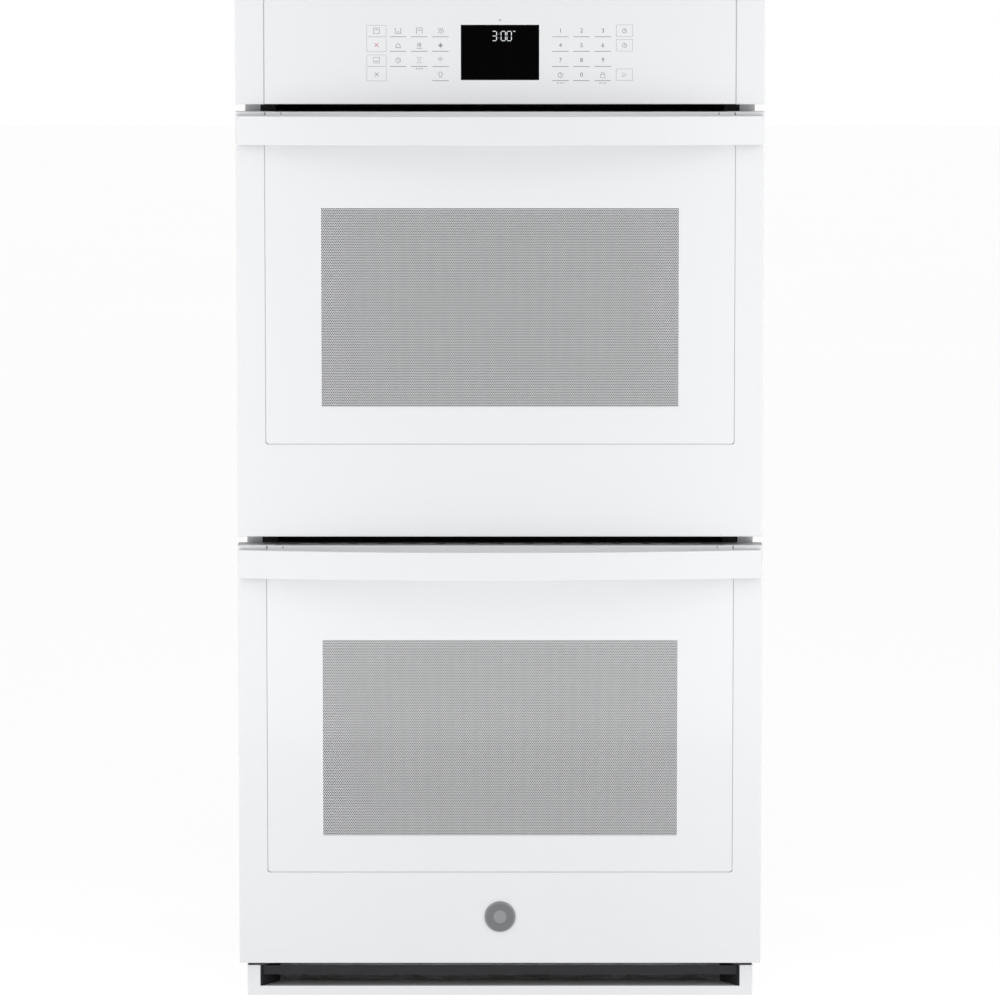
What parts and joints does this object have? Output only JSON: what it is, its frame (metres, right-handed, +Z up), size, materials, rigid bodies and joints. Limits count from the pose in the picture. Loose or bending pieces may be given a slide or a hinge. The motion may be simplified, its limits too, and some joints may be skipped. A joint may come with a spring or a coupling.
{
  "type": "wall oven",
  "caption": "Built-in double electric wall oven with two drop-down doors, bowed full-width handles, a glass touch panel and sliding wire racks.",
  "frame": {"origin": "centre of the underside: middle of width and of overall depth, lowest face", "axes": "+Z up, -Y towards the doors and control panel, +X to the right seen from the front"},
  "size_m": [0.6794, 0.6794, 1.2969],
  "materials": {
    "white_paint": "gloss white enamel paint",
    "white_glass": "back painted glass",
    "clear_glass": "clear heat resistant glass",
    "galvanised_steel": "galvanised sheet",
    "black_steel": "satin black",
    "oven_enamel": "speckled porcelain enamel",
    "mineral_wool": "fibrous wool",
    "gasket_weave": "woven glass fibre",
    "chrome_wire": "bright wire",
    "element_sheath": "dark heated sheath",
    "motor_steel": "zinc plated",
    "fan_plastic": "moulded black",
    "circuit_board": "green laminate with parts",
    "display_black": "smoked black",
    "badge_metal": "spun satin"
  },
  "bodies": {
    "casing": {"side_panel_left": "galvanised_steel", "side_panel_right": "galvanised_steel", "rear_cover": "galvanised_steel", "top_cover": "galvanised_steel", "base_pan": "galvanised_steel", "front_frame": "black_steel", "mid_duct": "galvanised_steel", "top_duct": "galvanised_steel", "side_trim_left": "white_paint", "side_trim_right": "white_paint", "bottom_vent_trim": "white_paint", "bottom_vent_bar": "black_steel", "upper_cavity": "oven_enamel", "lower_cavity": "oven_enamel", "upper_insulation": "mineral_wool", "lower_insulation": "mineral_wool", "upper_gasket": "gasket_weave", "lower_gasket": "gasket_weave", "upper_broil_element": "element_sheath", "lower_broil_element": "element_sheath", "upper_bake_element": "element_sheath", "lower_bake_element": "element_sheath", "oven_lamps": "clear_glass", "temperature_probes": "motor_steel", "hinge_arms": "motor_steel", "latch_motors": "motor_steel", "panel_end_caps": "white_paint", "control_glass": "white_glass", "control_housing": "galvanised_steel", "display_module": "display_black", "control_boards": "circuit_board", "blower_housing": "galvanised_steel", "blower_motor": "motor_steel", "junction_box": "galvanised_steel"},
    "upper_door": {"upper_door_skin": "white_paint", "upper_door_glass": "white_glass", "upper_door_cap": "white_paint", "upper_door_liner": "oven_enamel", "upper_middle_panes": "clear_glass", "upper_inner_pane": "clear_glass", "upper_door_insulation": "mineral_wool", "upper_hinge_channels": "galvanised_steel", "upper_handle": "white_paint"},
    "upper_rack_bottom": {"upper_rack_bottom": "chrome_wire"},
    "upper_rack_top": {"upper_rack_top": "chrome_wire"},
    "upper_latch": {"upper_latch": "motor_steel"},
    "lower_door": {"lower_door_skin": "white_paint", "lower_door_glass": "white_glass", "lower_door_cap": "white_paint", "lower_door_liner": "oven_enamel", "lower_middle_panes": "clear_glass", "lower_inner_pane": "clear_glass", "lower_door_insulation": "mineral_wool", "lower_hinge_channels": "galvanised_steel", "lower_handle": "white_paint", "badge": "badge_metal"},
    "lower_rack_bottom": {"lower_rack_bottom": "chrome_wire"},
    "lower_rack_top": {"lower_rack_top": "chrome_wire"},
    "lower_latch": {"lower_latch": "motor_steel"},
    "blower_wheel": {"blower_wheel": "fan_plastic"}
  },
  "joints": [
    {"name": "lower_door_hinge", "type": "hinge", "parent": "casing", "child": "lower_door", "pos_m": [0, -0.28675, 0.0693], "axis": [1, 0, 0], "range_deg": [0, 90], "stiffness_Nm_per_rad": 10, "springref_deg": -28.65},
    {"name": "upper_door_hinge", "type": "hinge", "parent": "casing", "child": "upper_door", "pos_m": [0, -0.28675, 0.629], "axis": [1, 0, 0], "range_deg": [0, 90], "stiffness_Nm_per_rad": 10, "springref_deg": -28.65},
    {"name": "lower_rack_bottom_slide", "type": "slide", "parent": "casing", "child": "lower_rack_bottom", "axis": [0, -1, 0], "range_m": [0, 0.22]},
    {"name": "lower_rack_top_slide", "type": "slide", "parent": "casing", "child": "lower_rack_top", "axis": [0, -1, 0], "range_m": [0, 0.3]},
    {"name": "lower_latch_pivot", "type": "hinge", "parent": "casing", "child": "lower_latch", "pos_m": [0, -0.21175, 0.5783], "axis": [0, 0, 1], "range_deg": [0, 14]},
    {"name": "upper_rack_bottom_slide", "type": "slide", "parent": "casing", "child": "upper_rack_bottom", "axis": [0, -1, 0], "range_m": [0, 0.22]},
    {"name": "upper_rack_top_slide", "type": "slide", "parent": "casing", "child": "upper_rack_top", "axis": [0, -1, 0], "range_m": [0, 0.3]},
    {"name": "upper_latch_pivot", "type": "hinge", "parent": "casing", "child": "upper_latch", "pos_m": [0, -0.21175, 1.138], "axis": [0, 0, 1], "range_deg": [0, 14]},
    {"name": "blower_spin", "type": "hinge", "parent": "casing", "child": "blower_wheel", "pos_m": [0, 0.04825, 1.184], "axis": [0, 0, 1], "continuous": true}
  ],
  "couplings": [
    {"joint": "lower_rack_bottom_slide", "follows": "lower_door_hinge", "m_per_rad": 0.14},
    {"joint": "lower_rack_top_slide", "follows": "lower_door_hinge", "m_per_rad": 0.19},
    {"joint": "upper_rack_bottom_slide", "follows": "upper_door_hinge", "m_per_rad": 0.14},
    {"joint": "upper_rack_top_slide", "follows": "upper_door_hinge", "m_per_rad": 0.19}
  ]
}
